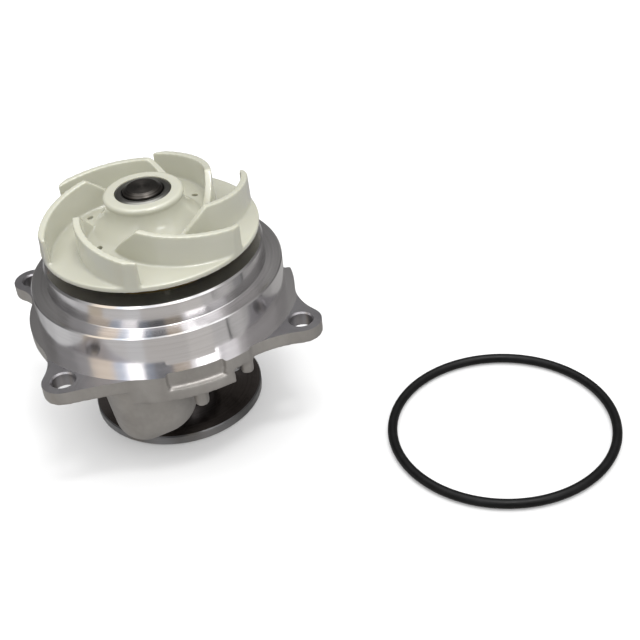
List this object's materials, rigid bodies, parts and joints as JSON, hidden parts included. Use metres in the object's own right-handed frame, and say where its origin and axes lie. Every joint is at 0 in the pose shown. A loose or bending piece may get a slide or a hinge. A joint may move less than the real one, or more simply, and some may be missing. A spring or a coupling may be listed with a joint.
{
  "type": "water pump",
  "caption": "Chain-driven engine coolant pump: cast cartridge housing with lugs, turned spigot, curved-vane impeller, drive hub, and a loose sealing ring.",
  "frame": {"origin": "centre of the drive hub's outer face, on the shaft axis, where the hub's screw circle is centred", "axes": "+Z along the shaft, from the drive hub to the impeller; +X points to between the two right-hand lugs, and the loose ring lies on that side"},
  "size_m": [0.2469, 0.1602, 0.1034],
  "materials": {
    "cast_aluminium": "die-cast, matt, with bright turned register, ledge and spigot",
    "plug_steel": "drawn steel",
    "bearing_steel": "ground bearing steel",
    "seal_rubber": "black moulded rubber",
    "ball_steel": "polished",
    "cage_nylon": "moulded nylon",
    "shaft_steel": "ground, darkened steel",
    "slinger_steel": "pressed steel",
    "seal_brass": "drawn brass",
    "spring_steel": "stainless wire",
    "carbon": "lapped carbon graphite",
    "seat_ceramic": "lapped white ceramic",
    "insert_steel": "dark sintered steel bush",
    "impeller_plastic": "cream moulded plastic, slightly glossy",
    "hub_steel": "turned rim, dark smooth face",
    "o_ring_rubber": "black rubber, slight sheen"
  },
  "bodies": {
    "housing": {"pump_housing": "cast_aluminium", "weep_plug": "plug_steel", "bearing_outer_ring": "bearing_steel", "upper_bearing_seal": "seal_rubber", "lower_bearing_seal": "seal_rubber", "seal_case": "seal_brass", "seal_bellows": "seal_rubber", "seal_spring": "spring_steel"},
    "rotor": {"pump_shaft": "shaft_steel", "slinger": "slinger_steel", "seat_ring": "seat_ceramic", "seat_cup": "seal_rubber", "impeller_insert": "insert_steel", "impeller": "impeller_plastic", "hub_flange": "hub_steel"},
    "ball_row": {"upper_balls": "ball_steel", "upper_ball_cage": "cage_nylon"},
    "roller_row": {"lower_rollers": "ball_steel", "lower_roller_cage": "cage_nylon"},
    "carbon_head": {"seal_carbon_ring": "carbon", "seal_retainer": "plug_steel"},
    "sealing_ring": {"body_o_ring": "o_ring_rubber"}
  },
  "joints": [
    {"name": "shaft_spin", "type": "hinge", "parent": "housing", "child": "rotor", "pos_m": [0, 0, 0], "axis": [0, 0, 1], "continuous": true},
    {"name": "ball_row_spin", "type": "hinge", "parent": "housing", "child": "ball_row", "pos_m": [0, 0, 0.0385], "axis": [0, 0, 1], "continuous": true},
    {"name": "roller_row_spin", "type": "hinge", "parent": "housing", "child": "roller_row", "pos_m": [0, 0, 0.0185], "axis": [0, 0, 1], "continuous": true},
    {"name": "carbon_float", "type": "slide", "parent": "housing", "child": "carbon_head", "axis": [0, 0, 1], "range_m": [-0.0008, 0], "stiffness_N_per_m": 500, "springref_m": 0.002, "deforming": ["seal_spring", "seal_bellows"]},
    {"name": "ring_lift", "type": "slide", "parent": "housing", "child": "sealing_ring", "axis": [0, 0, 1], "range_m": [0, 0.08]}
  ],
  "couplings": [
    {"joint": "ball_row_spin", "follows": "shaft_spin", "ratio": 0.3424},
    {"joint": "roller_row_spin", "follows": "shaft_spin", "ratio": 0.3955}
  ]
}
